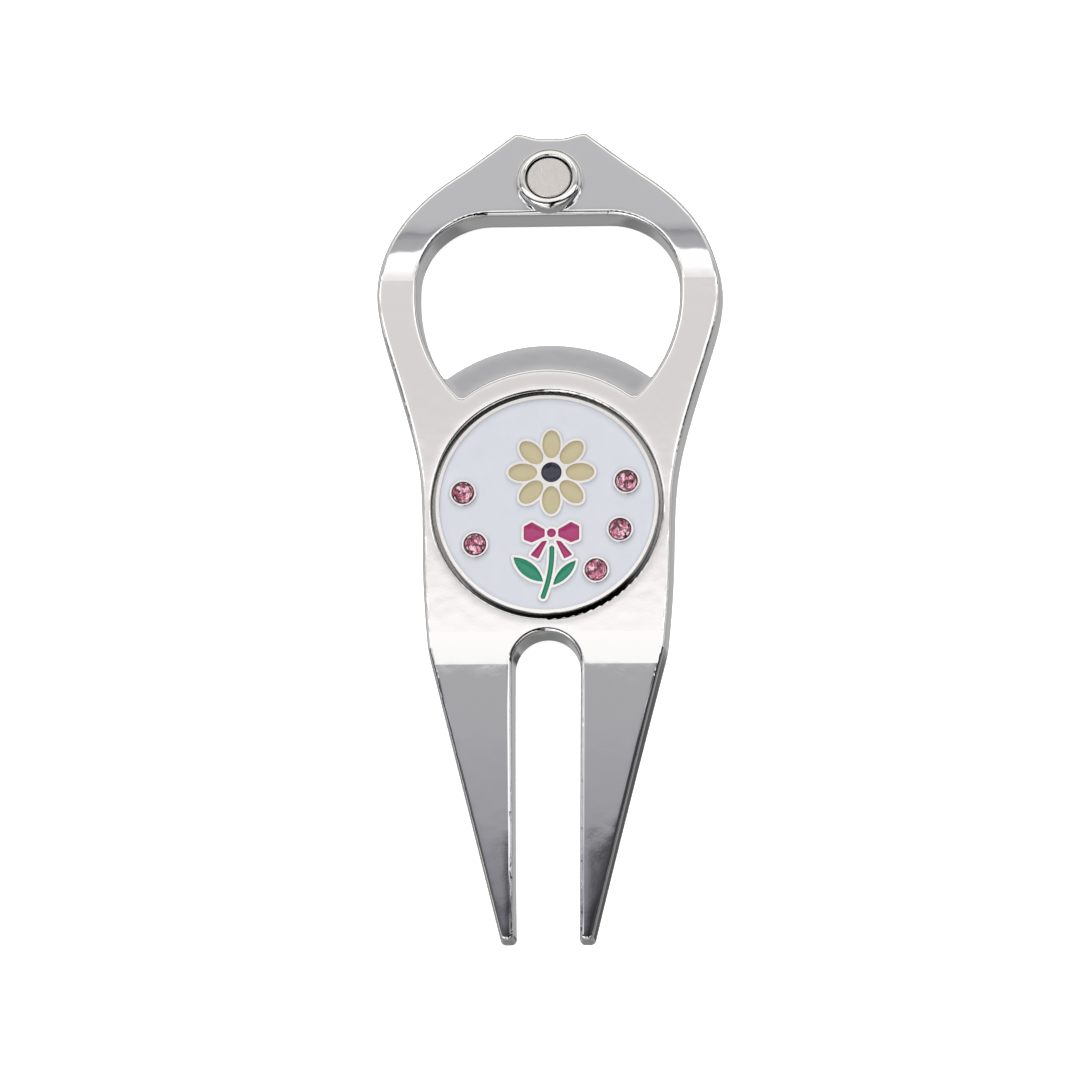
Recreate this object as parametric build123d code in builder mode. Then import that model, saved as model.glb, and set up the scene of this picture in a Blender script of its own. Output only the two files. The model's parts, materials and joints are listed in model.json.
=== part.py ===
"""Divot repair tool: a plated die-cast fork with a bottle-opener head and a magnetic ball marker.

The tool lies on its back. +Z is up and is the show side, +Y points at the head, X is the width.
Origin: the centre of the outline, on the surface that the tool rests on. Millimetres.
"""
from build123d import *
import os
from math import asin, cos, degrees, radians, sin, tan

os.makedirs("parts", exist_ok=True)

# ---- driving dimensions -------------------------------------------------------------------
# Lengths along the tool are measured from the marker's axis, which stands at marker_y.
head_end = 44.15           # horn tips
fork_end = -48.75          # prong tips
marker_y = -(head_end + fork_end) / 2

# Section of the casting, seen from the side
thickness = 4.5
head_bend_start = 26.0     # where the head starts to turn down
head_bend_radius = 42.0    # of the show face
head_bend_angle = 10.0
fork_bend_start = -14.5    # where the prongs start to turn down
fork_bend_radius = 42.0
fork_bend_angle = 5.0
fork_sweep_angle = 3.6     # further turn, spread over the whole length of the prongs

# Plan outline, at the foot of the walls; they lean in from there towards the show face
foot_level = -1.0
draft = 3.0                # of every wall of the casting
notch = head_end - 0.6     # bottom of the shallow rest notch
horn_x = 3.83
horn_shoulder = (1.1, 0.6) # outwards and down from the horn's peak to the straight flank
flank_direction = (1, -0.79)
flank_length = 5.6
widest = 19.8
fork_root = (12.75, -19.7)
tip_outer = 5.25

# Opener mouth
mouth_top = 33.8
mouth_corner_radius = 8.3
mouth_half_width = 14.9
mouth_side_start = 24.5
mouth_side_radius = 17.0
collar_radius = 15.7       # show face, concentric with the marker
lip_radius = 18.7          # free edge of the lip that catches the cap
foot_rounding = 0.5        # where the mouth's sides meet the collar and the lip
lip_drop = 1.6             # from the show face down to the root of the lip
lip_slope = 9.0            # of the lip, down towards the mouth

# Fork
slot_width = 7.7
slot_top = -14.5
tip_radius = 0.62
edge_radius = 0.5          # soft edges of the show face
back_edge_radius = 0.3
overrun = 4.0              # of the section beyond both ends of the outline

# Cap magnet in the boss on the head
boss_y = 37.75
boss_height = 1.5          # above the head's show face, square to it
boss_diameter = 7.65
boss_foot_diameter = 7.8
boss_round = 0.95          # of the crown
boss_depth = 0.5           # how far the boss starts inside the head
pocket_round = 0.25
cap_magnet_diameter = 5.0
cap_magnet_height = 2.0
cap_magnet_sunk = 0.18     # below the crown of the boss
magnet_chamfer = 0.12
cap_pocket_diameter = 5.36

# Ball marker and its seat
marker_diameter = 25.0
marker_thickness = 1.6
marker_proud = 0.15
marker_air = 0.03          # under the marker, so that the two bodies never share a face
seat_diameter = 25.9
seat_round = 0.3
marker_back_chamfer = 0.2
marker_rim_chamfer = 0.06
marker_magnet_diameter = 8.0
marker_magnet_height = 1.5
marker_magnet_sunk = 0.05
glue_gap = 0.1

# Artwork struck into the marker, measured from its centre: a flower tied with a bow
rim_width = 0.42
line_width = 0.27
cell_depth = 0.4
enamel_depth = 0.26
flower_place = (0.5, 3.6)
petal_count = 8
petal_middle = 3.2         # from the flower's centre
petal_long = 1.6
petal_wide = 1.02
flower_centre_radius = 1.15
hub_radius = 2.5           # bare metal between the petals
knot_place = (0.55, -3.35)
stem_width = 0.56
stone_diameter = 2.5
stone_places = [(-9.4, 1.3), (-8.0, -4.6), (8.9, 2.5), (8.2, -3.0), (5.55, -7.6)]
cup_depth = 0.55
bezel_diameter = 3.06
bezel_height = 0.12
bezel_round = 0.1
cup_clearance = 0.03
stone_glue = 0.08
stone_girdle = 0.22
stone_crown = 0.8
crown_taper = 38

# ---- heights that follow ---------------------------------------------------------------------
bend = radians(head_bend_angle)
back_bend_radius = head_bend_radius - thickness
head_flat = (head_end - head_bend_start - back_bend_radius * sin(bend)) / cos(bend)
back = back_bend_radius * (1 - cos(bend)) + head_flat * sin(bend)   # the middle arches this high
face = back + thickness
seat_floor = face + marker_proud - marker_thickness - marker_air
blank_height = face - foot_level + 1   # clear above the show face
marker_bottom = seat_floor + marker_air
marker_top = marker_bottom + marker_thickness
prong_length = fork_bend_start - fork_end
prong_back_radius = (prong_length**2 + back**2) / (2 * back)   # one arc down to the tips
prong_back_angle = degrees(asin(prong_length / prong_back_radius)) + 1
bend_drop = head_bend_radius * (1 - cos(bend))
boss_drop = bend_drop + (boss_y - head_bend_start - head_bend_radius * sin(bend)) * tan(bend)
slot_length = slot_top - slot_width / 2 - fork_end
cap_pocket_depth = cap_magnet_sunk + cap_magnet_height + glue_gap
marker_pocket_depth = glue_gap + marker_magnet_height + marker_magnet_sunk


def level(height):
    """Horizontal sketch plane centred on the marker's axis."""
    return Plane((0, marker_y, height))


centre_plane = Plane(origin=(0, marker_y, 0), x_dir=(0, 1, 0), z_dir=(1, 0, 0))
# the head's show face slopes, and the boss stands square to it
boss_origin = (0, marker_y + boss_y, face - boss_drop)
boss_axis = Axis(boss_origin, (0, sin(bend), cos(bend)))
boss_section = Plane(origin=boss_origin, x_dir=(1, 0, 0), z_dir=(0, -cos(bend), sin(bend)))
boss_crown = Plane(origin=boss_origin, x_dir=(1, 0, 0), z_dir=(0, sin(bend), cos(bend))).offset(boss_height)


def border(faces):
    """Edges that belong to exactly one of the faces."""
    edges = [edge for face_ in faces for edge in face_.edges()]
    return ShapeList(e for e in edges if sum(e.is_same(other) for other in edges) == 1)


def save(builder, name):
    builder.part.label = name
    export_step(builder.part, f"parts/{name}.step")


# ---- tool body -------------------------------------------------------------------------------
def outline():
    """Right-hand half of the plan outline, closed along the centre line."""
    shoulder = (horn_x + horn_shoulder[0], head_end - horn_shoulder[1])
    horn = Spline((0, notch), (horn_x * 0.48, notch + 0.13), (horn_x, head_end), shoulder,
                  tangents=[(1, 0), (1, 0.25), (1, 0), flank_direction])
    flank = PolarLine(horn @ 1, flank_length, direction=flank_direction)
    side = Spline(
        flank @ 1, (12.5, 37.75), (17.15, 32.8), (19.3, 28.1), (widest, 24.7), (18.5, 17.9),
        (16.1, 9.9), (14.75, 3.8), (14.35, -3.0), (14.1, -10.5), (13.65, -15.8), fork_root,
        tangents=[flank_direction, (tip_outer - fork_root[0], fork_end - fork_root[1])])
    prong = Line(side @ 1, (tip_outer, fork_end))
    end = Line(prong @ 1, (0, fork_end))
    Line(end @ 1, horn @ 0)


def side_profile():
    """Section of the casting on its centre plane: arched, with both ends on the rest surface."""
    face_middle = Line((fork_bend_start, face), (head_bend_start, face))
    head_arc = JernArc(face_middle @ 1, (1, 0), head_bend_radius, -head_bend_angle)
    head_face = PolarLine(head_arc @ 1, head_flat + overrun, direction=head_arc % 1)
    back_middle = Line((head_bend_start, back), (fork_bend_start, back))
    head_back_arc = JernArc(back_middle @ 0, (1, 0), back_bend_radius, -head_bend_angle)
    head_back = PolarLine(head_back_arc @ 1, head_flat + overrun, direction=head_back_arc % 1)
    Line(head_face @ 1, head_back @ 1)
    prong_back = JernArc(back_middle @ 1, (-1, 0), prong_back_radius, prong_back_angle)
    fork_arc = JernArc(face_middle @ 0, (-1, 0), fork_bend_radius, fork_bend_angle)
    sweep_length = (fork_arc @ 1).X - fork_end + overrun
    sweep_radius = sweep_length / radians(fork_sweep_angle)
    prong_face = JernArc(fork_arc @ 1, fork_arc % 1, sweep_radius, fork_sweep_angle)
    Line(prong_face @ 1, prong_back @ 1)


def mouth(bottom_radius):
    """Right-hand half of the opener mouth down to an arc about the marker's axis."""
    corner_x = mouth_half_width - mouth_corner_radius
    side_centre = mouth_half_width - mouth_side_radius
    # where the side arc meets the bottom arc
    offset_x, offset_y = side_centre, mouth_side_start
    span = (offset_x**2 + offset_y**2) ** 0.5
    along = (bottom_radius**2 - mouth_side_radius**2 + span**2) / (2 * span)
    across = (bottom_radius**2 - along**2) ** 0.5
    foot = (
        (along * offset_x + across * offset_y) / span,
        (along * offset_y - across * offset_x) / span,
    )
    top = Line((0, mouth_top), (corner_x, mouth_top))
    corner = TangentArc(top @ 1, (mouth_half_width, mouth_top - mouth_corner_radius), tangent=(1, 0))
    side = Line(corner @ 1, (mouth_half_width, mouth_side_start))
    lower_side = TangentArc(side @ 1, foot, tangent=(0, -1))
    bottom = RadiusArc(lower_side @ 1, (0, bottom_radius), -bottom_radius)
    Line(bottom @ 1, top @ 0)


# the shallow part of the mouth, above the sloping lip
lip_plane = Plane(
    origin=(0, marker_y + collar_radius, face - lip_drop), x_dir=(1, 0, 0),
    z_dir=(0, sin(radians(lip_slope)), cos(radians(lip_slope))))
with BuildPart() as above_lip:
    with BuildSketch(level(face)) as shallow:
        with BuildLine():
            mouth(collar_radius)
        make_face()
        mirror(about=Plane.YZ)
        fillet(shallow.vertices().group_by(Axis.Y)[0], foot_rounding)
    extrude(amount=-thickness, taper=draft)
    split(bisect_by=lip_plane, keep=Keep.TOP)

with BuildPart() as tool_body:
    # the plan outline with its leaning walls, cut to the arched section
    with BuildSketch(level(foot_level)):
        with BuildLine():
            outline()
        make_face()
        mirror(about=Plane.YZ)
    with BuildSketch(level(foot_level + blank_height)):
        with BuildLine():
            outline()
        make_face()
        mirror(about=Plane.YZ)
        offset(amount=-blank_height * tan(radians(draft)), kind=Kind.INTERSECTION)
    loft(ruled=True)
    with BuildSketch(centre_plane):
        with BuildLine():
            side_profile()
        make_face()
    extrude(amount=2 * widest, both=True, mode=Mode.INTERSECT)
    # opener mouth: the deep cut leaves the lip, then the lip is bared
    with BuildSketch(level(face)) as deep:
        with BuildLine():
            mouth(lip_radius)
        make_face()
        mirror(about=Plane.YZ)
        fillet(deep.vertices().group_by(Axis.Y)[0], foot_rounding)
    extrude(amount=-face - 1, taper=draft, mode=Mode.SUBTRACT)
    add(above_lip.part, mode=Mode.SUBTRACT)
    # fork slot with its round top
    with BuildSketch(level(face)):
        with Locations((0, slot_top - slot_width / 2)):
            Circle(slot_width / 2)
        with Locations((0, fork_end - overrun)):
            Rectangle(slot_width, slot_length + overrun, align=(Align.CENTER, Align.MIN))
    extrude(amount=-face - 1, taper=draft, mode=Mode.SUBTRACT)
    # rounded prong tips, then soft edges all round, as cast and plated
    tips = tool_body.edges().filter_by(
        lambda e: e.center().Y < marker_y + fork_end + tip_radius and e.bounding_box().size.Z > tip_radius)
    fillet(tips, tip_radius)
    upward = tool_body.faces().filter_by(lambda f: f.normal_at().Z > 0.95)
    lip = upward.filter_by_position(Axis.Y, marker_y + seat_diameter / 2, marker_y + lip_radius)[0]
    show = ShapeList(f for f in upward if not f.is_same(lip))
    fillet(border(show), edge_radius)
    downward = tool_body.faces().filter_by(lambda f: f.normal_at().Z < -0.95)
    fillet(border(downward), back_edge_radius)
    # boss that holds the cap magnet
    with BuildSketch(boss_section):
        with BuildLine():
            foot = Line((0, -boss_depth), (boss_foot_diameter / 2, -boss_depth))
            flare = Line(foot @ 1, (boss_diameter / 2, boss_height - boss_round))
            crown = JernArc(flare @ 1, (0, 1), boss_round, 90)
            Line(crown @ 1, (0, boss_height))
            Line((0, boss_height), foot @ 0)
        make_face()
    revolve(axis=boss_axis, revolution_arc=360)
    with BuildSketch(boss_crown):
        Circle(cap_pocket_diameter / 2)
    extrude(amount=-cap_pocket_depth, mode=Mode.SUBTRACT)
    pocket_rim = tool_body.edges().filter_by(GeomType.CIRCLE).filter_by(
        lambda e: (e.arc_center - boss_crown.origin).length < 0.01).sort_by(SortBy.RADIUS)[0]
    fillet(pocket_rim, pocket_round)
    # seat for the ball marker, with the blind pocket for its magnet
    with BuildSketch(level(face)):
        Circle(seat_diameter / 2)
    extrude(amount=seat_floor - face, mode=Mode.SUBTRACT)
    seat_rim = tool_body.edges().filter_by(GeomType.CIRCLE).filter_by_position(
        Axis.Z, face - 0.01, face + 0.01).filter_by(lambda e: abs(e.radius - seat_diameter / 2) < 0.01)
    fillet(seat_rim, seat_round)
    with BuildSketch(level(seat_floor)):
        Circle(marker_magnet_diameter / 2 + glue_gap)
    extrude(amount=-marker_pocket_depth, mode=Mode.SUBTRACT)
save(tool_body, "tool_body")


# ---- magnets and the glue that holds them ----------------------------------------------------
def magnet_disc(name, floor, diameter, height):
    """Nickel-plated disc magnet, standing glue_gap above the floor of its pocket."""
    with BuildPart() as magnet:
        with BuildSketch(floor.offset(glue_gap)):
            Circle(diameter / 2)
        extrude(amount=height)
        chamfer(magnet.edges().filter_by(GeomType.CIRCLE), magnet_chamfer)
    save(magnet, name)
    return magnet


def glue_cup(name, floor, magnet, pocket_diameter, wall_height):
    """Glue under a magnet and part of the way up its side."""
    with BuildPart() as glue:
        with BuildSketch(floor):
            Circle(pocket_diameter / 2)
        extrude(amount=glue_gap + wall_height)
        add(magnet.part, mode=Mode.SUBTRACT)
    save(glue, name)


marker_pocket_floor = level(seat_floor - marker_pocket_depth)
marker_magnet = magnet_disc(
    "marker_magnet", marker_pocket_floor, marker_magnet_diameter, marker_magnet_height)
glue_cup("marker_magnet_glue", marker_pocket_floor, marker_magnet,
         marker_magnet_diameter + 2 * glue_gap, marker_magnet_height * 0.7)
cap_pocket_floor = boss_crown.offset(-cap_pocket_depth)
cap_magnet = magnet_disc("cap_magnet", cap_pocket_floor, cap_magnet_diameter, cap_magnet_height)
glue_cup("cap_magnet_glue", cap_pocket_floor, cap_magnet, cap_pocket_diameter,
         cap_magnet_height * 0.3)


# ---- artwork ---------------------------------------------------------------------------------
def petal(number, grow=0.0):
    with BuildSketch() as shape:
        with Locations(flower_place):
            with PolarLocations(petal_middle, 1, start_angle=90 + number * 360 / petal_count):
                Ellipse(petal_long + grow, petal_wide + grow)
    return shape.sketch


def disc(place, radius):
    with BuildSketch() as shape:
        with Locations(place):
            Circle(radius)
    return shape.sketch


def stem():
    with BuildSketch() as shape:
        middle = ThreePointArc((0.6, -5.1), (0.4, -7.9), (-0.35, -10.6), mode=Mode.PRIVATE)
        SlotArc(middle, stem_width)
    return shape.sketch


def leaf(base, tip, radius=3.4):
    with BuildSketch() as shape:
        with BuildLine():
            RadiusArc(base, tip, radius)
            RadiusArc(tip, base, radius)
        make_face()
    return shape.sketch


def bow_piece(corners, rounding):
    """One loop or tail of the bow; corners are measured from the knot."""
    with BuildSketch() as shape:
        with BuildLine():
            Polyline([(knot_place[0] + x, knot_place[1] + y) for x, y in corners], close=True)
        make_face()
        fillet(shape.vertices(), rounding)
    return shape.sketch


def both_sides(corners):
    return corners, [(-x, y) for x, y in corners]


loop_right, loop_left = both_sides(
    [(0.75, -0.4), (0.75, 0.4), (2.2, 1.25), (3.1, 0.75), (3.1, -0.75), (2.2, -1.1)])
tail_right, tail_left = both_sides([(0.45, -0.85), (1.05, -0.95), (2.35, -2.5), (1.45, -2.95)])

petals = {f"enamel_petal_{n + 1}": petal(n) for n in range(petal_count)}
cells = {"enamel_flower_centre": disc(flower_place, flower_centre_radius)}
cells["enamel_bow_knot"] = disc(knot_place, 0.5)
cells["enamel_bow_loop_right"] = bow_piece(loop_right, 0.2)
cells["enamel_bow_loop_left"] = bow_piece(loop_left, 0.2)
cells["enamel_bow_tail_right"] = bow_piece(tail_right, 0.1)
cells["enamel_bow_tail_left"] = bow_piece(tail_left, 0.1)
cells["enamel_stem"] = stem()
cells["enamel_leaf_left"] = leaf((-0.35, -8.9), (-3.7, -6.1))
cells["enamel_leaf_right"] = leaf((0.75, -9.3), (3.3, -6.5))

with BuildSketch() as field:
    Circle(marker_diameter / 2 - rim_width)
    with Locations(flower_place):
        Circle(hub_radius, mode=Mode.SUBTRACT)
    with Locations(*stone_places):
        Circle(bezel_diameter / 2, mode=Mode.SUBTRACT)
    for shape in cells.values():
        offset(shape, amount=line_width, mode=Mode.SUBTRACT)
    for number in range(petal_count):
        add(petal(number, line_width), mode=Mode.SUBTRACT)
cells.update(petals)
cells["enamel_field"] = field.sketch

# ---- ball marker -----------------------------------------------------------------------------
with BuildPart() as marker_coin:
    with BuildSketch(level(marker_bottom)):
        Circle(marker_diameter / 2)
    extrude(amount=marker_thickness)
    chamfer(marker_coin.edges().group_by(Axis.Z)[0], marker_back_chamfer)
    chamfer(marker_coin.edges().group_by(Axis.Z)[-1], marker_rim_chamfer)
    with BuildSketch(level(marker_top)):
        for shape in cells.values():
            add(shape)
    extrude(amount=-cell_depth, mode=Mode.SUBTRACT)
    with BuildSketch(level(marker_top - cell_depth)):
        with Locations(*stone_places):
            Circle(bezel_diameter / 2)
    extrude(amount=cell_depth + bezel_height)
    bezel_rims = marker_coin.edges().group_by(Axis.Z)[-1]
    fillet(bezel_rims, bezel_round)
    with BuildSketch(level(marker_top + bezel_height)):
        with Locations(*stone_places):
            Circle(stone_diameter / 2 + cup_clearance)
    extrude(amount=-cup_depth - bezel_height, mode=Mode.SUBTRACT)
save(marker_coin, "marker_coin")

for name, shape in cells.items():
    with BuildPart() as enamel:
        with BuildSketch(level(marker_top - cell_depth)):
            add(shape)
        extrude(amount=enamel_depth)
    save(enamel, name)

for number, place in enumerate(stone_places, start=1):
    cup_floor = marker_top - cup_depth
    with BuildPart() as bead:
        with BuildSketch(level(cup_floor)):
            with Locations(place):
                Circle(stone_diameter / 2)
        extrude(amount=stone_glue)
    save(bead, f"stone_{number}_glue")
    with BuildPart() as stone:
        with BuildSketch(level(cup_floor + stone_glue)):
            with Locations(place):
                Circle(stone_diameter / 2)
        extrude(amount=stone_girdle)
        with BuildSketch(level(cup_floor + stone_glue + stone_girdle)):
            with Locations(place):
                RegularPolygon(stone_diameter / 2, 8)
        extrude(amount=stone_crown, taper=crown_taper)
    save(stone, f"stone_{number}")
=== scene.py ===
"""Looks for the divot repair tool: plated casting, soft-enamel ball marker, magnets and stones.

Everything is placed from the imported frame, in metres: +Z is the show side, +Y points at the head.
"""
import json
import math

import bmesh
import bpy
import numpy as np
from mathutils import Matrix, Vector
from mathutils.geometry import delaunay_2d_cdt


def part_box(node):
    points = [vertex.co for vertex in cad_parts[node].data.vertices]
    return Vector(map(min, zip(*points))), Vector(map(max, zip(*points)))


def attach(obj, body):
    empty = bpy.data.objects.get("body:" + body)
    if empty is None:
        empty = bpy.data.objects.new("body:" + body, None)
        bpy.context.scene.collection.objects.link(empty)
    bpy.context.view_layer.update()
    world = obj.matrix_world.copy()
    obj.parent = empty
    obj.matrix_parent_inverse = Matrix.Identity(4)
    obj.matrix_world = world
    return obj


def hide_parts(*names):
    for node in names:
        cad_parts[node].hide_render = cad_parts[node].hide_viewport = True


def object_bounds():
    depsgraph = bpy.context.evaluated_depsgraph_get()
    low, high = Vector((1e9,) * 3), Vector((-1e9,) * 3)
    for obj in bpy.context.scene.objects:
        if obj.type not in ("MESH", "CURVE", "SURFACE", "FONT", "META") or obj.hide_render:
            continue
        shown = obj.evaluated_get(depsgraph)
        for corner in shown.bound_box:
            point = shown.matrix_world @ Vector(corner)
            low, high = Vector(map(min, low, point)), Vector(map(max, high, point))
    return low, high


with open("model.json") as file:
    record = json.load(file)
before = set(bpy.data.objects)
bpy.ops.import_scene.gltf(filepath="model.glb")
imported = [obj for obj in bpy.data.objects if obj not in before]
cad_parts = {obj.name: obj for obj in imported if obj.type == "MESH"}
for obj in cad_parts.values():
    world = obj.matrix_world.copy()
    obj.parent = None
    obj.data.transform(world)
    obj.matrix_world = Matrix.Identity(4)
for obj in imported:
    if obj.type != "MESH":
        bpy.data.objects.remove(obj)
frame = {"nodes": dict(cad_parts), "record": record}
cad_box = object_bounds()
nodes = frame["nodes"]
slots = {part["node"]: part["material_slot"] for part in frame["record"]["subparts"]}
MM = 0.001


# ---- small helpers for node trees ------------------------------------------------------------
# A Mix node has several sockets of one name, so its sockets go by number.
COLOUR_A = 6
COLOUR_B = 7
COLOUR_OUT = 2
VECTOR_A = 4
VECTOR_B = 5
VECTOR_OUT = 1


class Tree:
    """Short calls for building a shader tree."""

    def __init__(self, tree):
        self.tree = tree
        tree.nodes.clear()

    def node(self, kind, **settings):
        made = self.tree.nodes.new(kind)
        inputs = settings.pop("inputs", {})
        for key, value in settings.items():
            setattr(made, key, value)
        for key, value in inputs.items():
            self.feed(made, key, value)
        return made

    def feed(self, node, key, value):
        if isinstance(value, bpy.types.NodeSocket):
            self.tree.links.new(value, node.inputs[key])
        else:
            node.inputs[key].default_value = value

    def math(self, operation, first, second=0.0, third=0.0):
        node = self.node("ShaderNodeMath", operation=operation)
        for slot, value in enumerate((first, second, third)):
            self.feed(node, slot, value)
        return node.outputs[0]

    def ramp(self, value, stops, interpolation="EASE"):
        node = self.node("ShaderNodeValToRGB", inputs={"Fac": value})
        ramp = node.color_ramp
        ramp.interpolation = interpolation
        while len(ramp.elements) < len(stops):
            ramp.elements.new(0.5)
        for element, (place, tone) in zip(ramp.elements, stops):
            element.position = place
            element.color = (tone, tone, tone, 1) if isinstance(tone, float) else (*tone, 1)
        return node.outputs["Color"]

    def blend(self, factor, first, second, kind="MIX"):
        node = self.node("ShaderNodeMix", data_type="RGBA", blend_type=kind, inputs={
            "Factor": factor, COLOUR_A: first, COLOUR_B: second})
        return node.outputs[COLOUR_OUT]

    def multiply(self, first, second):
        return self.blend(1.0, first, second, "MULTIPLY")

    def surface(self, shader):
        out = self.node("ShaderNodeOutputMaterial")
        self.tree.links.new(shader.outputs[0], out.inputs["Surface"])

    def scale(self, value, low, high):
        node = self.node("ShaderNodeMapRange", inputs={
            "Value": value, "To Min": low, "To Max": high})
        return node.outputs["Result"]

    def fade(self, value, start, end, kind="SMOOTHSTEP"):
        """0 up to the start and 1 past the end, whichever way they lie."""
        node = self.node("ShaderNodeMapRange", interpolation_type=kind, inputs={
            "Value": value, "From Min": start, "From Max": end})
        return node.outputs["Result"]

    def unit(self, value):
        """A value between -1 and 1 as a place on a ramp."""
        return self.math("MULTIPLY_ADD", value, 0.5, 0.5)


def new_material(name):
    material = bpy.data.materials.new(name)
    material.use_nodes = True
    return material, Tree(material.node_tree)


def give(material, *names):
    for name in names:
        mesh = nodes[name].data
        mesh.materials.clear()
        mesh.materials.append(material)


def nodes_in(slot_name):
    """The CAD nodes that take their finish from one slot of the record."""
    return [node_name for node_name, used in slots.items() if used == slot_name]


# ---- camera ----------------------------------------------------------------------------------
CAMERA_TILT = math.radians(12.5)      # towards the fork, from straight above
CAMERA_SIDE = math.radians(3.9)       # towards +X
CAMERA_ROLL = math.radians(0.35)      # turns the tool clockwise in the picture
CAMERA_DISTANCE = 600 * MM
FRAME_WIDTH = 120.7 * MM              # width of the picture at the marker
MARKER_IN_FRAME = (0.8 * MM, 3.9 * MM)   # how far the marker is right of and above the middle
SENSOR_WIDTH = 36                     # in mm, as Blender has it
NEAREST_SEEN = 10 * MM

marker_low, marker_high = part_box("marker_coin")
marker_centre = (Vector(marker_low) + Vector(marker_high)) / 2
BEZEL_HEIGHT = 0.12 * MM              # of the stones' bezels above the marker's face
marker_face = marker_high[2] - BEZEL_HEIGHT


def make_camera():
    outward = Vector((math.sin(CAMERA_SIDE), -math.sin(CAMERA_TILT), 0))
    outward.z = math.sqrt(1 - outward.length_squared)
    right = Vector((0, 1, 0)).cross(outward).normalized()
    up = outward.cross(right)
    right = right * math.cos(CAMERA_ROLL) + up * math.sin(CAMERA_ROLL)
    up = outward.cross(right)
    aim = marker_centre - right * MARKER_IN_FRAME[0] - up * MARKER_IN_FRAME[1]
    data = bpy.data.cameras.new("camera")
    data.sensor_width = SENSOR_WIDTH
    data.lens = SENSOR_WIDTH * CAMERA_DISTANCE / FRAME_WIDTH
    data.clip_start = NEAREST_SEEN
    camera = bpy.data.objects.new("camera", data)
    bpy.context.scene.collection.objects.link(camera)
    turn = Matrix((right, up, outward)).transposed().to_4x4()
    camera.matrix_world = Matrix.Translation(aim + outward * CAMERA_DISTANCE) @ turn
    bpy.context.scene.camera = camera


# ---- studio ----------------------------------------------------------------------------------
WHITE = (1, 1, 1, 1)
PAPER = (0.95, 0.95, 0.95, 1)
PAPER_GLOW = 0.6           # keeps the paper white under a light that suits the enamel
FLOOR_REACH = 3.0          # from the middle of the floor to its edges
LAMP_SIZE = 0.8
LAMP_POWER = 10.0          # in watts
LAMP_PLACE = (0, 0.1, 0.9)
DARK_PATCH = (0.04, 0.04, 0.04, 1)    # below the horizon, towards +X


def make_picture():
    """Plain colour, so that a white floor comes out white."""
    bpy.context.scene.view_settings.view_transform = "Standard"


def at(degrees):
    """Place on a ramp that runs from -90 to 90 degrees."""
    return 0.5 + degrees / 180


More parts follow.
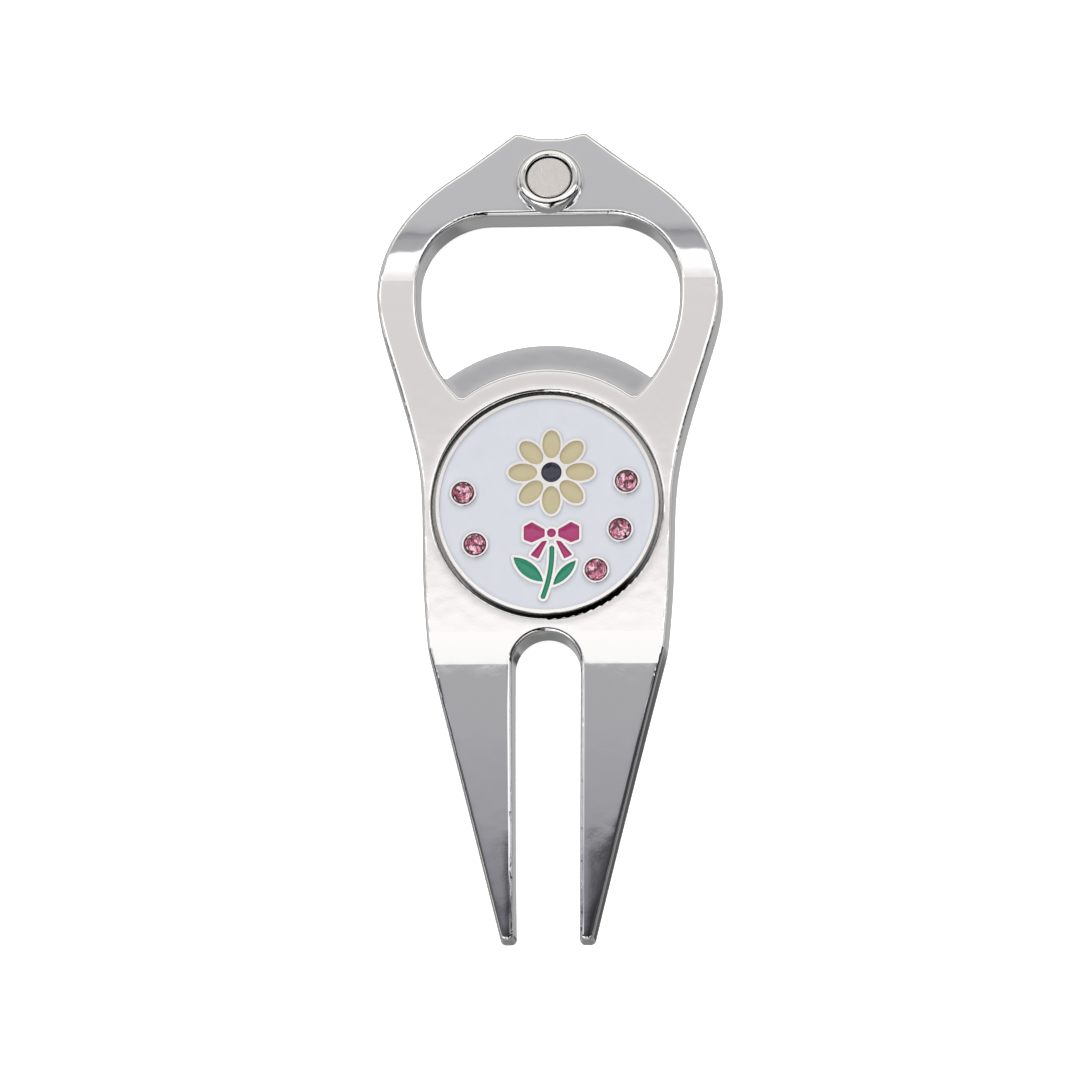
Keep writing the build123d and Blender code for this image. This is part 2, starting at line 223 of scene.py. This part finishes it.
def make_world():
    """The studio as the plating sees it: bands of light and dark across the tool's width."""
    world = bpy.data.worlds.new("studio")
    bpy.context.scene.world = world
    world.use_nodes = True
    t = Tree(world.node_tree)
    direction = t.node("ShaderNodeTexCoord").outputs["Generated"]
    x, y, z = t.node("ShaderNodeSeparateXYZ", inputs={"Vector": direction}).outputs
    above = t.math("MAXIMUM", z, 0.0)
    # angle from the zenith: towards the head, and across the width
    lean = t.math("MULTIPLY_ADD", t.math("ARCTAN2", y, above), 1 / math.pi, 0.5)
    side = t.math("MULTIPLY_ADD", t.math("ARCTAN2", x, above), 1 / math.pi, 0.5)
    bands = t.ramp(lean, [
        (at(-88), (0.5, 0.5, 0.51)), (at(-64), (0.8, 0.8, 0.8)), (at(-60), (0.1, 0.1, 0.1)),
        (at(-56), (0.1, 0.1, 0.1)), (at(-51), (1.3, 1.27, 1.22)), (at(-34), (1.3, 1.3, 1.3)),
        (at(-28), (0.08, 0.08, 0.09)), (at(-11), (0.07, 0.07, 0.08)), (at(-8.4), (0.10, 0.10, 0.12)),
        (at(-6.2), (0.29, 0.29, 0.32)), (at(-3), (0.42, 0.42, 0.45)), (at(-0.8), (0.47, 0.47, 0.49)),
        (at(1.0), (0.47, 0.47, 0.49)), (at(2.4), (1.2, 1.19, 1.18)),
        (at(11.6), (1.24, 1.21, 1.20)), (at(12.5), (1.0, 0.97, 0.96)), (at(13.8), (0.83, 0.80, 0.79)),
        (at(15.4), (0.84, 0.81, 0.80)), (at(16.3), (1.0, 0.97, 0.95)), (at(18), (1.19, 1.17, 1.15)),
        (at(20), (1.45, 1.45, 1.45)), (at(24.3), (1.5, 1.5, 1.5)), (at(25.4), (0.50, 0.50, 0.52)),
        (at(28.5), (0.46, 0.46, 0.48)), (at(30.2), (0.38, 0.38, 0.40)), (at(31), (0.32, 0.32, 0.35)),
        (at(31.8), (0.47, 0.47, 0.49)), (at(32.6), (0.52, 0.52, 0.54)), (at(34.5), (0.60, 0.60, 0.62)),
        (at(44), (0.66, 0.66, 0.66)), (at(52), (1.1, 1.08, 1.04)), (at(76), (1.1, 1.07, 1.0)),
    ])
    across = t.ramp(side, [
        (at(-86), 0.7), (at(-66), 0.85), (at(-62), 0.08), (at(-57), 0.08), (at(-52), 1.1),
        (at(-22), 1.2), (at(-14), 1.0), (at(14), 1.0), (at(22), 1.2), (at(50), 1.1),
        (at(55), 0.08), (at(60), 0.08), (at(64), 0.85), (at(86), 0.7),
    ])
    # where the plating mirrors the fork's side: a dark strip and a bright one beside the tool
    fork_across = t.ramp(side, [
        (at(-86), 0.7), (at(-66), 0.85), (at(-62), 0.08), (at(-57), 0.08), (at(-52), 1.7),
        (at(-22), 1.8), (at(-14), 1.0), (at(-1), 1.0), (at(3), 0.06), (at(13), 0.06),
        (at(17), 3.0), (at(50), 2.6), (at(55), 0.08), (at(60), 0.08), (at(64), 0.85), (at(86), 0.7),
    ])
    # and a darker corner, which only the tips mirror
    corner = t.ramp(side, [(at(-3.72), 1.0), (at(-3.4), 0.3)])
    at_tips = t.fade(lean, at(-4.0), at(-5.4))
    corner = t.blend(at_tips, WHITE, corner)
    towards_fork = t.fade(lean, at(2.0), at(0.5))
    across = t.blend(towards_fork, across, t.multiply(fork_across, corner))
    sky = t.multiply(bands, across)
    # below the horizon: what the walls of the casting show
    ground = t.ramp(t.unit(y), [
        (0.0, 0.3), (0.2, 0.3), (0.29, 0.33), (0.32, 0.36), (0.35, 0.22), (0.42, 0.26), (0.5, 0.42),
        (0.58, 0.46), (0.64, 0.46), (1.0, 0.3)])
    dark_x = t.ramp(t.unit(x), [(0.575, 0.0), (0.6, 0.85), (0.64, 0.85), (0.665, 0.0)])
    dark_y = t.ramp(t.unit(y), [(0.48, 0.0), (0.50, 1.0), (0.555, 1.0), (0.58, 0.0)])
    shade = t.math("MULTIPLY", dark_x, dark_y)
    ground = t.blend(shade, ground, DARK_PATCH)
    below = t.fade(z, 0.02, -0.12, "LINEAR")
    light = t.blend(below, sky, ground)
    background = t.node("ShaderNodeBackground", inputs={"Color": light, "Strength": 1.0})
    out = t.node("ShaderNodeOutputWorld")
    t.tree.links.new(background.outputs[0], out.inputs["Surface"])


def make_floor():
    """White paper. The plating doesn't mirror it: its walls show the darker ground of the world."""
    mesh = bpy.data.meshes.new("floor")
    corners = [(FLOOR_REACH * x, FLOOR_REACH * y, 0) for x, y in ((-1, -1), (1, -1), (1, 1), (-1, 1))]
    mesh.from_pydata(corners, [], [(0, 1, 2, 3)])
    floor = bpy.data.objects.new("floor", mesh)
    floor.location.z = cad_box[0][2]
    floor.visible_glossy = False
    bpy.context.scene.collection.objects.link(floor)
    material, t = new_material("floor_paper")
    t.surface(t.node("ShaderNodeBsdfPrincipled", inputs={
        "Base Color": PAPER, "Roughness": 0.9, "Specular IOR Level": 0.1,
        "Emission Color": WHITE, "Emission Strength": PAPER_GLOW}))
    mesh.materials.append(material)


def make_fill_light():
    """Lights the floor and the enamel from above without showing in the plating."""
    data = bpy.data.lights.new("overhead", "AREA")
    data.shape = "DISK"
    data.size = LAMP_SIZE
    data.energy = LAMP_POWER
    lamp = bpy.data.objects.new("overhead", data)
    lamp.location = LAMP_PLACE
    lamp.visible_glossy = False
    bpy.context.scene.collection.objects.link(lamp)


# ---- materials -------------------------------------------------------------------------------
# How fine each pattern is, in cells per metre.
WAVES = 110.0
ORANGE_PEEL = 420.0
GRAIN = 3000.0
RUB_MARKS = 5200.0
CLOUDS = 500.0
FOIL_FLECKS = 5200.0
RUB_STRETCH = (1.0, 0.07, 1.0)        # the rub marks run along the tool,
RUB_TURN = 0.35                       # turned a little, in radians
FOIL_TURN = 0.6
ROUGHEST = 1.4                        # of the plate's mean roughness
SMOOTHEST = 0.7
CROWN_RADIUS = 1.6 * MM
CREVICE_WIDTH = 0.9 * MM
CLOUD_HEIGHT = 0.01 * MM


def plated(name, colour, roughness, wave, grain, crown):
    """Bright plate over a casting: slow waves, orange peel and rub marks, with painted shade in the
    crevices.
    """
    material, t = new_material(name)
    place = t.node("ShaderNodeTexCoord").outputs["Object"]
    slow = t.node("ShaderNodeTexNoise", inputs={"Vector": place, "Scale": WAVES, "Detail": 0.5})
    peel = t.node("ShaderNodeTexNoise", inputs={"Vector": place, "Scale": ORANGE_PEEL, "Detail": 1.0})
    fine = t.node("ShaderNodeTexNoise", inputs={"Vector": place, "Scale": GRAIN, "Detail": 3.0})
    stretched = t.node("ShaderNodeMapping", inputs={
        "Vector": place, "Rotation": (0, 0, RUB_TURN), "Scale": RUB_STRETCH})
    marks = t.node("ShaderNodeTexNoise", inputs={
        "Vector": stretched.outputs[0], "Scale": RUB_MARKS, "Detail": 4.0})
    rough = t.scale(marks.outputs[0], roughness * SMOOTHEST, roughness * ROUGHEST)
    # polishing leaves the flats very slightly crowned towards their edges
    true_normal = t.node("ShaderNodeNewGeometry").outputs["Normal"]
    rounded = t.node("ShaderNodeBevel", samples=8, inputs={"Radius": CROWN_RADIUS})
    crowned = t.node("ShaderNodeMix", data_type="VECTOR", inputs={
        "Factor": crown, VECTOR_A: true_normal, VECTOR_B: rounded.outputs[0]})
    relief = t.node("ShaderNodeVectorMath", operation="NORMALIZE", inputs={
        0: crowned.outputs[VECTOR_OUT]})
    for pattern, height in ((slow, wave), (peel, wave), (fine, grain)):
        relief = t.node("ShaderNodeBump", inputs={
            "Height": pattern.outputs[0], "Distance": height, "Normal": relief.outputs[0]})
    # painted shade: the plate's colour falls to near black where the ambient occlusion finds crevices
    crevice = t.node("ShaderNodeAmbientOcclusion", samples=6, inputs={"Distance": CREVICE_WIDTH})
    painted_crevice_shade = t.ramp(crevice.outputs["AO"], [(0.0, 0.02), (0.26, 0.06), (0.54, 1.0)], "LINEAR")
    tint = t.multiply(painted_crevice_shade, (*colour, 1))
    t.surface(t.node("ShaderNodeBsdfPrincipled", inputs={
        "Base Color": tint, "Metallic": 1.0, "Roughness": rough, "Normal": relief.outputs[0]}))
    return material


def enamel(name, colour):
    """Soft enamel: glossy, a little cloudy, with the faint unevenness of a hand-filled cell."""
    material, t = new_material(name)
    place = t.node("ShaderNodeTexCoord").outputs["Object"]
    cloud = t.node("ShaderNodeTexNoise", inputs={"Vector": place, "Scale": CLOUDS, "Detail": 2.0})
    darker, lighter = [c * 0.95 for c in colour], [c * 1.03 for c in colour]
    tint = t.blend(cloud.outputs[0], (*darker, 1), (*lighter, 1))
    bump = t.node("ShaderNodeBump", inputs={"Height": cloud.outputs[0], "Distance": CLOUD_HEIGHT})
    t.surface(t.node("ShaderNodeBsdfPrincipled", inputs={
        "Base Color": tint, "Roughness": 0.14, "Normal": bump.outputs[0]}))
    return material


def crystal(name, colour):
    """Clear tinted glass, seen into through the crown."""
    material, t = new_material(name)
    t.surface(t.node("ShaderNodeBsdfPrincipled", inputs={
        "Base Color": (*colour, 1), "Roughness": 0.01, "IOR": 1.58, "Transmission Weight": 1.0}))
    return material


def foil(name, shades, stretch):
    """The foil behind a crystal, painted in flecks of the given shades; with the sparkle shades these
    run from near black to white, painted highlights and painted shade in place of the facets'
    reflections.
    """
    material, t = new_material(name)
    place = t.node("ShaderNodeTexCoord").outputs["Object"]
    stretched = t.node("ShaderNodeMapping", inputs={
        "Vector": place, "Rotation": (0, 0, FOIL_TURN), "Scale": stretch})
    flecks = t.node("ShaderNodeTexVoronoi", inputs={
        "Vector": stretched.outputs[0], "Scale": FOIL_FLECKS})
    pick = t.node("ShaderNodeSeparateColor", inputs={"Color": flecks.outputs["Color"]})
    tint = t.ramp(pick.outputs[0], shades, "CONSTANT")
    t.surface(t.node("ShaderNodeBsdfPrincipled", inputs={"Base Color": tint, "Roughness": 0.3}))
    return material


# ---- finer pieces in place of the marker's CAD nodes -----------------------------------------
def stand_in(node_name, mesh):
    """A piece of the ball marker that shows this mesh instead of the node's own."""
    piece = bpy.data.objects.new(mesh.name, mesh)
    bpy.context.scene.collection.objects.link(piece)
    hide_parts(node_name)
    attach(piece, "ball_marker")


# ---- enamel with its meniscus ----------------------------------------------------------------
# The enamel creeps up the metal lines and dries lower in the middle of its cell. All in mm here.
RIM_BELOW_METAL = 0.03
MIDDLE_BELOW_METAL = 0.26
MENISCUS_WIDTH = 0.17
RINGS = (0.04, 0.09, 0.16, 0.26)      # rows of points that follow the outline
RING_STEP = 0.12
RING_TOLERANCE = 0.002                # of a point's distance from the outline
GRID_STEP = 0.35
GRID_SHIFT = 0.37 * GRID_STEP         # keeps the grid off the outline's straight sides
GRID_CLEARANCE = 0.4 * GRID_STEP      # between the grid and the innermost row
WELD = 0.001
MESHING_TOLERANCE = 0.0005
FACES_UP = 0.9                        # the least z of the normal of a cell's top face
SHARP_EDGE = math.radians(50)


def outline_of(shape, faces):
    """Vertices round the set of faces, and the edges between them as index pairs, in a fixed order."""
    edges = [edge for edge in shape.edges if sum(face in faces for face in edge.link_faces) == 1]
    verts = list(dict.fromkeys(vertex for edge in edges for vertex in edge.verts))
    index = {vertex: number for number, vertex in enumerate(verts)}
    return verts, [(index[edge.verts[0]], index[edge.verts[1]]) for edge in edges]


def inside(points, starts, ends):
    """Even-odd test of each point against the outline's edges."""
    x, y = points[:, 0:1], points[:, 1:2]
    straddles = (starts[:, 1] > y) != (ends[:, 1] > y)
    rise = np.where(ends[:, 1] == starts[:, 1], 1.0, ends[:, 1] - starts[:, 1])
    crossing = starts[:, 0] + (y - starts[:, 1]) * (ends[:, 0] - starts[:, 0]) / rise
    return (straddles & (x < crossing)).sum(axis=1) % 2 == 1


def distance(points, starts, ends):
    """From each point to the nearest edge of the outline."""
    along = ends - starts
    offset = points[:, None, :] - starts
    share = np.clip((offset * along).sum(axis=2) / (along ** 2).sum(axis=1), 0, 1)
    return np.sqrt(((offset - share[:, :, None] * along) ** 2).sum(axis=2)).min(axis=1)


def inner_points(starts, ends):
    """Rows of points along the outline, and a grid over the rest of the cell."""
    low, high = starts.min(axis=0), starts.max(axis=0)
    grid = np.stack(np.meshgrid(*(np.arange(a, b, GRID_STEP) for a, b in zip(low, high))), axis=-1)
    found = [grid.reshape(-1, 2) + GRID_SHIFT]
    for start, end in zip(starts, ends):
        along = end - start
        length = np.hypot(*along)
        across = np.array((-along[1], along[0])) / length
        count = max(1, int(length / RING_STEP))
        middles = start + along * ((np.arange(count)[:, None] + 0.5) / count)
        found += [middles + across * side * ring_place for ring_place in RINGS for side in (-1, 1)]
    points = np.concatenate(found)
    points = points[inside(points, starts, ends)]
    clear = distance(points, starts, ends)
    grid_part = clear > RINGS[-1] + GRID_CLEARANCE
    on_ring = np.any([np.abs(clear - ring_place) < RING_TOLERANCE for ring_place in RINGS], axis=0)
    return points[grid_part | on_ring]


def fill_depth(points, starts, ends):
    """How far the enamel lies below the metal at each point."""
    fall = np.exp(-distance(points, starts, ends) / MENISCUS_WIDTH)
    return MIDDLE_BELOW_METAL - (MIDDLE_BELOW_METAL - RIM_BELOW_METAL) * fall


def fill_cell(node_name, material):
    """A copy of the node with its flat top replaced by the dished surface of the enamel."""
    mesh = nodes[node_name].data.copy()
    mesh.name = node_name + "_fill"
    mesh.materials.clear()
    mesh.materials.append(material)
    shape = bmesh.new()
    shape.from_mesh(mesh)
    bmesh.ops.remove_doubles(shape, verts=shape.verts, dist=WELD * MM)
    surface = [face for face in shape.faces if face.normal.z > FACES_UP]
    rim, edges = outline_of(shape, set(surface))
    corners = np.array([(vertex.co.x, vertex.co.y) for vertex in rim]) / MM
    starts, ends = corners[[a for a, b in edges]], corners[[b for a, b in edges]]
    points = inner_points(starts, ends)
    depths = fill_depth(points, starts, ends)
    bmesh.ops.delete(shape, geom=surface, context="FACES_ONLY")
    for vertex in rim:
        vertex.co.z = marker_face - RIM_BELOW_METAL * MM
    flat = [Vector(point) for point in (*corners, *points)]
    placed, _, triangles, origins, _, _ = delaunay_2d_cdt(flat, edges, [], 1, MESHING_TOLERANCE)
    centres = np.array([sum((placed[v] for v in t), Vector((0, 0))) / 3 for t in triangles])
    verts = []
    for place, origin in zip(placed, origins):
        if origin and origin[0] < len(rim):
            verts.append(rim[origin[0]])
        else:
            below = depths[origin[0] - len(rim)]
            verts.append(shape.verts.new((place.x * MM, place.y * MM, marker_face - below * MM)))
    for triangle, within in zip(triangles, inside(centres, starts, ends)):
        if within:
            shape.faces.new([verts[v] for v in triangle])
    bmesh.ops.recalc_face_normals(shape, faces=shape.faces)
    for face in shape.faces:
        face.smooth = True
    shape.to_mesh(mesh)
    shape.free()
    mesh.set_sharp_from_angle(angle=SHARP_EDGE)
    stand_in(node_name, mesh)


# ---- stones ----------------------------------------------------------------------------------
MAINS = 8                  # main facets round the stone; the girdle has twice as many corners
TABLE = 0.55               # radius of the table, of the girdle's
STAR = 0.80                # radius where the star and kite facets meet
STAR_HEIGHT = 0.55         # of the way from the girdle's middle to the table
CULET = 0.12               # radius of the flat at the bottom
GIRDLE_HEIGHT = 0.06 * MM
GIRDLE_PLACE = 0.52        # of the stone's height
FOIL_EDGE = 0.86           # radius of the foil; outside it the stone shows only its dark setting
FOIL_DEPTH = 0.2           # of its edge, of the way from the girdle's middle to the bottom


def ring(shape, centre, radius, height, count, phase):
    """Evenly spaced vertices, turned by the phase in steps of their spacing."""
    verts = []
    for number in range(count):
        angle = math.radians((number + phase) * 360 / count)
        verts.append(shape.verts.new((
            centre.x + radius * math.cos(angle), centre.y + radius * math.sin(angle), height)))
    return verts


def cut_stone(node_name, glass, foils, turn):
    """Round brilliant: table, stars, kites and break facets above, and foiled facets below."""
    low, high = (Vector(corner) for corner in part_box(node_name))
    centre = (low + high) / 2
    radius = (high.x - low.x) / 2
    girdle = low.z + (high.z - low.z) * GIRDLE_PLACE
    shape = bmesh.new()
    table = ring(shape, centre, radius * TABLE, high.z, MAINS, turn)
    star_height = girdle + (high.z - girdle) * STAR_HEIGHT
    star = ring(shape, centre, radius * STAR, star_height, MAINS, turn + 0.5)
    corners = 2 * MAINS
    upper = ring(shape, centre, radius, girdle + GIRDLE_HEIGHT / 2, corners, turn * 2)
    lower = ring(shape, centre, radius, girdle - GIRDLE_HEIGHT / 2, corners, turn * 2)
    culet = ring(shape, centre, radius * CULET, low.z, MAINS, turn)
    inner_height = girdle - (girdle - low.z) * FOIL_DEPTH
    inner = ring(shape, centre, radius * FOIL_EDGE, inner_height, corners, turn * 2)
    foiled = []
    dark = []
    shape.faces.new(table)
    for n in range(MAINS):
        after = (n + 1) % MAINS
        before = (n - 1) % MAINS
        corner = 2 * n
        next_corner = (corner + 2) % corners
        main, half, following = upper[corner], upper[corner + 1], upper[next_corner]
        shape.faces.new((table[n], star[n], table[after]))
        shape.faces.new((table[n], star[before], main, star[n]))
        shape.faces.new((star[n], main, half))
        shape.faces.new((star[n], half, following))
        low_main, low_half, low_following = lower[corner], lower[corner + 1], lower[next_corner]
        shape.faces.new((main, low_main, low_half, half))
        shape.faces.new((half, low_half, low_following, following))
        inner_main, inner_half, inner_following = inner[corner], inner[corner + 1], inner[next_corner]
        dark.append(shape.faces.new((low_main, low_half, inner_half, inner_main)))
        dark.append(shape.faces.new((low_half, low_following, inner_following, inner_half)))
        foiled.append(shape.faces.new((culet[n], inner_half, inner_main)))
        foiled.append(shape.faces.new((culet[n], culet[after], inner_half)))
        foiled.append(shape.faces.new((culet[after], inner_following, inner_half)))
    foiled.append(shape.faces.new(culet[::-1]))
    bmesh.ops.recalc_face_normals(shape, faces=shape.faces)
    for index, faces in ((1, foiled), (2, dark)):
        for face in faces:
            face.material_index = index
    mesh = bpy.data.meshes.new(node_name + "_cut")
    shape.to_mesh(mesh)
    shape.free()
    for material in (glass, *foils):
        mesh.materials.append(material)
    stand_in(node_name, mesh)


# ---- the scene -------------------------------------------------------------------------------
make_camera()
make_picture()
make_world()
make_floor()
make_fill_light()

cast_plate = plated("cast_plate", (0.80, 0.80, 0.80), roughness=0.03, wave=0.009 * MM,
                    grain=0.001 * MM, crown=0.07)
struck_plate = plated("struck_plate", (0.84, 0.83, 0.82), roughness=0.09, wave=0.006 * MM,
                      grain=0.002 * MM, crown=0.0)
magnet_plate = plated("magnet_plate", (0.80, 0.76, 0.73), roughness=0.34, wave=0.004 * MM,
                      grain=0.003 * MM, crown=0.0)
give(cast_plate, "tool_body")
give(struck_plate, "marker_coin")
give(magnet_plate, "cap_magnet", "marker_magnet")

ENAMELS = {
    "enamel_white": (0.385, 0.395, 0.43),
    "enamel_beige": (0.31, 0.27, 0.165),
    "enamel_black": (0.016, 0.016, 0.028),
    "enamel_magenta": (0.23, 0.018, 0.088),
    "enamel_green": (0.008, 0.145, 0.085),
}
for slot_name, colour in ENAMELS.items():
    material = enamel(slot_name, colour)
    for node_name in nodes_in(slot_name):
        fill_cell(node_name, material)
give(enamel("glue", (0.30, 0.26, 0.20)), *nodes_in("clear_glue"))

glass = crystal("pink_glass", (1.0, 0.82, 0.88))
# painted sparkle: flecks of painted highlight and painted shade; the share of the flecks that are
# darker, and the shade
PAINTED_SPARKLE_SHADES = [
    (0.0, (0.03, 0.003, 0.01)), (0.24, (0.22, 0.03, 0.08)), (0.4, (0.55, 0.13, 0.24)),
    (0.66, (0.8, 0.36, 0.48)), (0.8, (1.0, 0.92, 0.96)),
]
SETTING_SHADES = [(0.0, (0.02, 0.004, 0.008)), (0.85, (0.16, 0.05, 0.08))]
foils = [
    foil("painted_sparkle_foil", PAINTED_SPARKLE_SHADES, (1.0, 0.6, 1.0)),
    foil("setting", SETTING_SHADES, (1.0, 1.0, 1.0)),
]
STONE_TURNS = [0.1, 0.35, 0.6, 0.8, 0.25]      # of a main facet; each stone sits its own way
for number, turn in enumerate(STONE_TURNS, start=1):
    cut_stone(f"stone_{number}", glass, foils, turn)
